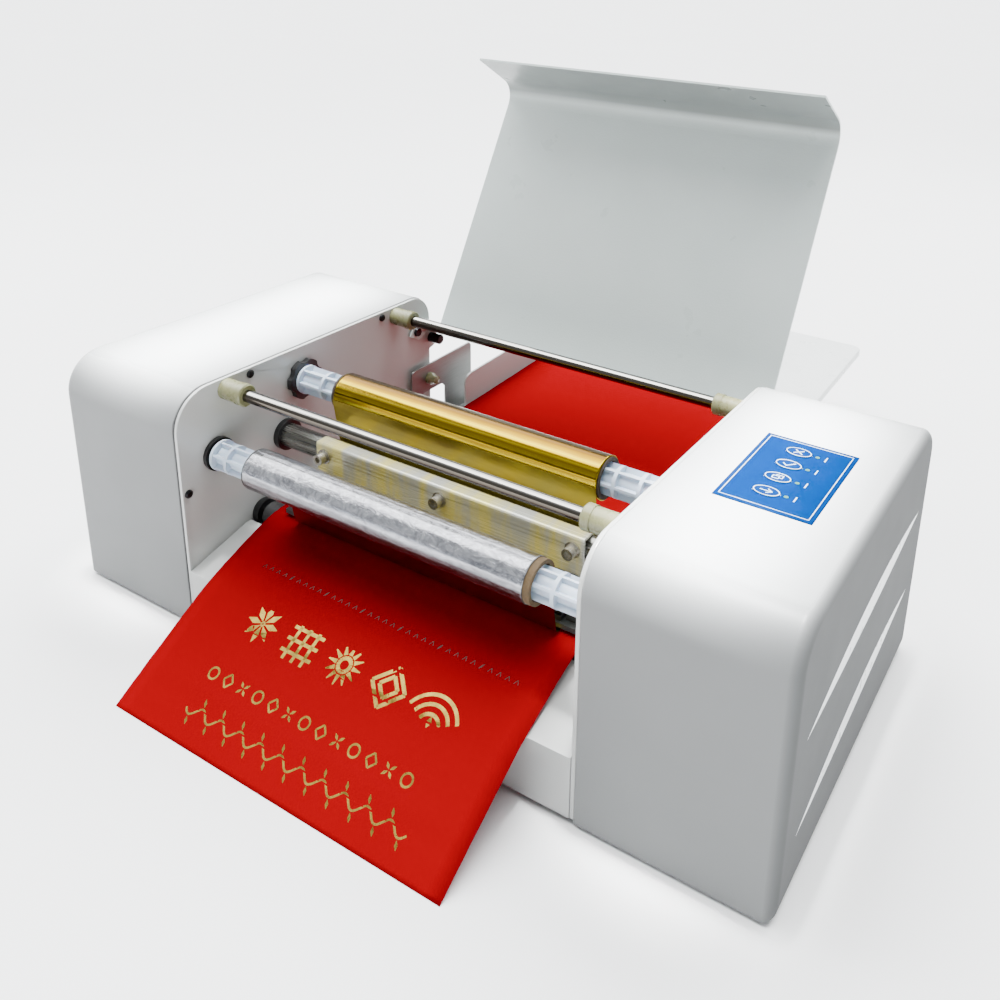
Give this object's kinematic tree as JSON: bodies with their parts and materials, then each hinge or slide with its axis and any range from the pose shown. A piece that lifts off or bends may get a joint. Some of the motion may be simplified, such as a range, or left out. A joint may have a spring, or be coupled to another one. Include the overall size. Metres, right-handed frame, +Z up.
{
  "type": "hot foil stamper",
  "caption": "Desktop foil printer: two white housings joined by rods carry foil rolls, heated head, platen, swing-up lid and rear feed tray.",
  "frame": {"origin": "middle of the footprint, on the table", "axes": "+X to the operator's right, +Y to the back, +Z up"},
  "size_m": [0.629, 0.7822, 0.423],
  "materials": {
    "white_gloss": "glossy white paint with faint orange peel",
    "white_paint": "satin white powder coat",
    "textured_lid": "pale white with fine leather-like texture",
    "zinc_steel": "plain zinc plated sheet",
    "black_screw": "black oxide",
    "black_rubber": "matt rubber",
    "bright_rod": "ground and polished steel",
    "satin_steel": "satin ground steel tube",
    "bearing_steel": "ground ball bearing",
    "spring_steel": "drawn spring wire",
    "cream_nylon": "slightly translucent cream nylon",
    "red_sheet": "smooth coated red card",
    "spindle_plastic": "moulded bluish white plastic",
    "cardboard_core": "wound cardboard tube",
    "gold_foil": "metallised foil with lengthwise creases",
    "silver_foil": "crinkled aluminium coloured foil",
    "used_film": "translucent olive carrier film",
    "black_plastic": "moulded black plastic",
    "brushed_bracket": "bright brushed stainless sheet",
    "anodised": "extruded aluminium",
    "dark_board": "dark board with black connectors",
    "gear_plastic": "natural acetal",
    "brass_gear": "machined brass",
    "aluminium_pulley": "turned aluminium",
    "motor_black": "black motor cans",
    "blue_membrane": "printed blue membrane",
    "green_board": "solder-masked circuit boards",
    "socket_black": "moulded black sockets"
  },
  "bodies": {
    "frame": {"base_chassis": "zinc_steel", "left_side_plate": "white_paint", "right_side_plate": "white_paint", "left_cover": "white_gloss", "right_cover": "white_gloss", "cover_screws": "black_screw", "rubber_feet": "black_rubber", "tie_rods": "bright_rod", "tie_rod_bushes": "cream_nylon", "front_fascia": "white_paint", "paper_bed": "white_paint", "printed_sheet": "red_sheet", "feed_tray": "white_paint", "tray_brackets": "zinc_steel", "tray_thumb_screws": "cream_nylon", "side_plate_studs": "black_screw", "paper_guide": "white_paint", "roll_bearings": "bearing_steel", "latch_springs": "spring_steel", "latch_housings": "black_plastic", "supply_web": "gold_foil", "takeup_web": "used_film", "shaft_bushes": "black_plastic", "platen_belt": "black_rubber", "stepper_motors": "motor_black", "motor_bracket": "zinc_steel", "keypad_overlay": "blue_membrane", "circuit_boards": "green_board", "power_supply": "zinc_steel", "rear_sockets": "socket_black", "power_switch": "socket_black"},
    "lid": {"lid_panel": "textured_lid"},
    "supply_roll": {"supply_spindle": "spindle_plastic", "supply_core": "cardboard_core", "supply_foil": "gold_foil", "supply_hub": "black_plastic"},
    "takeup_roll": {"takeup_spindle": "spindle_plastic", "takeup_core": "cardboard_core", "takeup_foil": "silver_foil", "takeup_hub": "black_plastic", "takeup_gear": "gear_plastic"},
    "supply_latch": {"supply_latch_hub": "black_plastic"},
    "takeup_latch": {"takeup_latch_hub": "black_plastic"},
    "platen": {"platen_shaft": "bright_rod", "platen_rubber": "black_rubber", "platen_pulley": "aluminium_pulley"},
    "platen_drive": {"motor_pulley": "aluminium_pulley"},
    "takeup_drive": {"takeup_pinion": "brass_gear"},
    "lift_drive": {"lift_pinion": "brass_gear"},
    "head": {"head_shaft": "satin_steel", "head_bracket": "brushed_bracket", "head_screws": "bright_rod", "head_heatsink": "anodised", "print_head": "dark_board", "lift_sector": "gear_plastic"},
    "key_one": {"key_1": "blue_membrane"},
    "key_two": {"key_2": "blue_membrane"},
    "key_three": {"key_3": "blue_membrane"},
    "key_four": {"key_4": "blue_membrane"},
    "rocker": {"power_rocker": "socket_black"}
  },
  "joints": [
    {"name": "lid_hinge", "type": "hinge", "parent": "frame", "child": "lid", "pos_m": [0, -0.03, 0.1678], "axis": [1, 0, 0], "range_deg": [0, 119]},
    {"name": "supply_spin", "type": "hinge", "parent": "frame", "child": "supply_roll", "pos_m": [0, -0.1759, 0.1725], "axis": [1, 0, 0], "continuous": true},
    {"name": "takeup_spin", "type": "hinge", "parent": "frame", "child": "takeup_roll", "pos_m": [0, -0.2678, 0.1417], "axis": [1, 0, 0], "continuous": true},
    {"name": "platen_spin", "type": "hinge", "parent": "frame", "child": "platen", "pos_m": [0, -0.228, 0.07], "axis": [1, 0, 0], "continuous": true},
    {"name": "platen_motor_spin", "type": "hinge", "parent": "frame", "child": "platen_drive", "pos_m": [0, -0.173, 0.042], "axis": [1, 0, 0], "continuous": true},
    {"name": "takeup_motor_spin", "type": "hinge", "parent": "frame", "child": "takeup_drive", "pos_m": [0, -0.2678, 0.1097], "axis": [1, 0, 0], "continuous": true},
    {"name": "head_lift", "type": "hinge", "parent": "frame", "child": "head", "pos_m": [0, -0.198, 0.129], "axis": [-1, 0, 0], "range_deg": [0, 6]},
    {"name": "lift_motor_spin", "type": "hinge", "parent": "frame", "child": "lift_drive", "pos_m": [0, -0.16119, 0.12184], "axis": [1, 0, 0], "range_deg": [0, 24]},
    {"name": "supply_latch_slide", "type": "slide", "parent": "frame", "child": "supply_latch", "axis": [1, 0, 0], "range_m": [0, 0.008], "stiffness_N_per_m": 300, "springref_m": -0.01, "deforming": ["latch_springs"]},
    {"name": "takeup_latch_slide", "type": "slide", "parent": "frame", "child": "takeup_latch", "axis": [1, 0, 0], "range_m": [0, 0.008], "stiffness_N_per_m": 300, "springref_m": -0.01, "deforming": ["latch_springs"]},
    {"name": "key_1_press", "type": "slide", "parent": "frame", "child": "key_one", "axis": [0, 0, -1], "range_m": [0, 0.0005], "stiffness_N_per_m": 800, "springref_m": -0.0005},
    {"name": "key_2_press", "type": "slide", "parent": "frame", "child": "key_two", "axis": [0, 0, -1], "range_m": [0, 0.0005], "stiffness_N_per_m": 800, "springref_m": -0.0005},
    {"name": "key_3_press", "type": "slide", "parent": "frame", "child": "key_three", "axis": [0, 0, -1], "range_m": [0, 0.0005], "stiffness_N_per_m": 800, "springref_m": -0.0005},
    {"name": "key_4_press", "type": "slide", "parent": "frame", "child": "key_four", "axis": [0, 0, -1], "range_m": [0, 0.0005], "stiffness_N_per_m": 800, "springref_m": -0.0005},
    {"name": "power_rocker_tilt", "type": "hinge", "parent": "frame", "child": "rocker", "pos_m": [0.2525, -0.012, 0.0395], "axis": [1, 0, 0], "range_deg": [0, 16]}
  ],
  "couplings": [
    {"joint": "platen_motor_spin", "follows": "platen_spin", "ratio": 1.5},
    {"joint": "takeup_motor_spin", "follows": "takeup_spin", "ratio": -3},
    {"joint": "lift_motor_spin", "follows": "head_lift", "ratio": 4}
  ]
}
